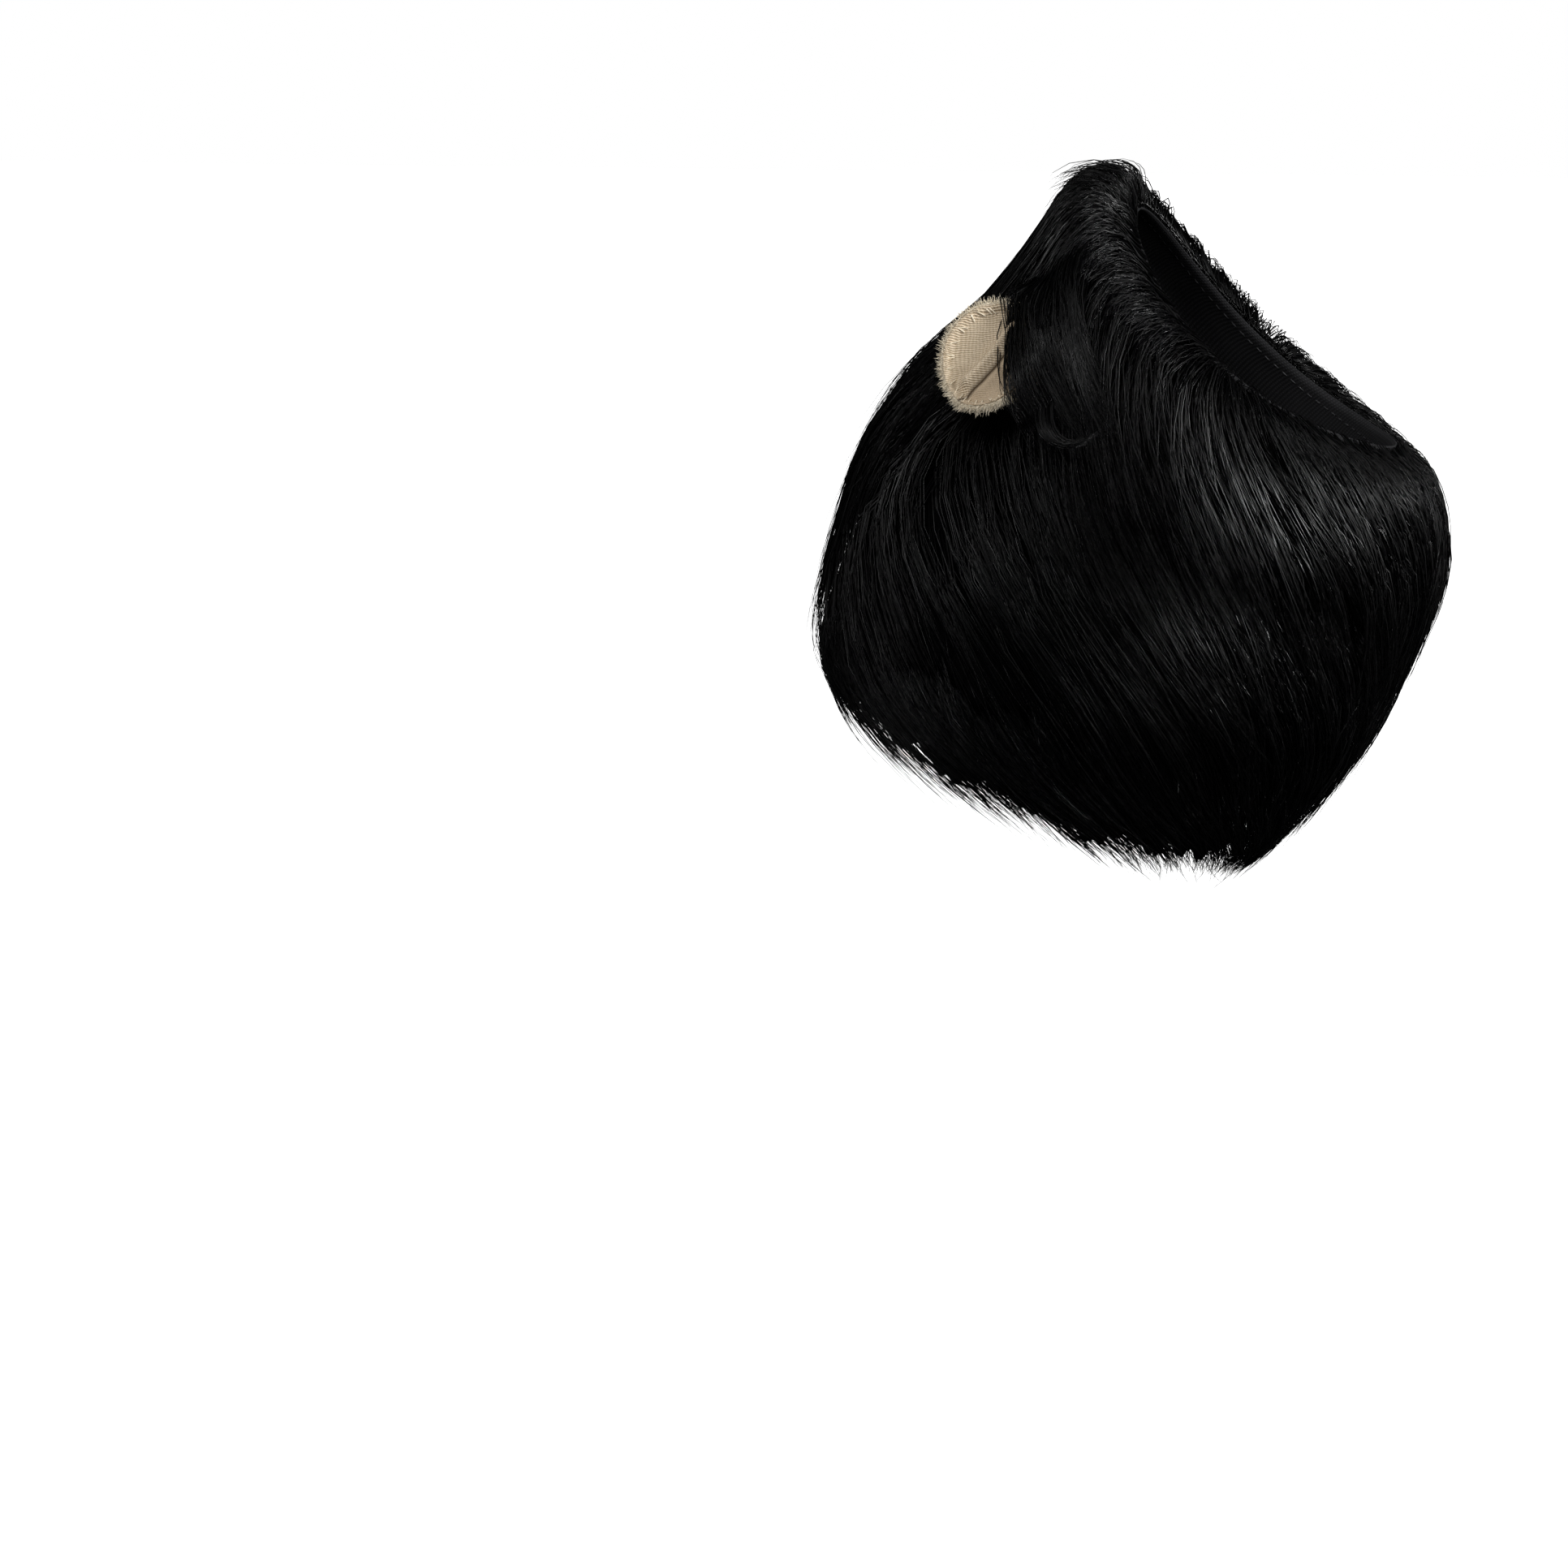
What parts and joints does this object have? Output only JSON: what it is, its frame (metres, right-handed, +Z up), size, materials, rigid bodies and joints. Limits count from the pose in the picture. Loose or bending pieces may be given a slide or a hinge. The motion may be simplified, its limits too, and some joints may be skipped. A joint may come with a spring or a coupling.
{
  "type": "pet lion mane wig",
  "caption": "Open knitted hood for a large dog's head and neck, covered with tiers of long black fur locks, with a pair of cream plush lion ears.",
  "frame": {"origin": "inside of the hood's crown, where it sits on the top of the wearer's head", "axes": "+Z up, the wearer faces -Y with the muzzle raised, the wearer's right side is -X"},
  "size_m": [0.39, 0.4299, 0.4977],
  "materials": {
    "knit_backing": "matt black knitted backing with a turned hem",
    "black_fur": "long black faux fur pile with a soft silky sheen",
    "cream_plush": "short cream plush, fuzzy along the rim",
    "ribbed_lining": "beige cloth with fine ribs"
  },
  "bodies": {
    "root": {"hood": "knit_backing", "cape_fur": "black_fur", "ruff_fur": "black_fur", "crown_fur": "black_fur", "right_ear_shell": "cream_plush", "left_ear_shell": "cream_plush", "right_ear_lining": "ribbed_lining", "left_ear_lining": "ribbed_lining"}
  },
  "joints": []
}
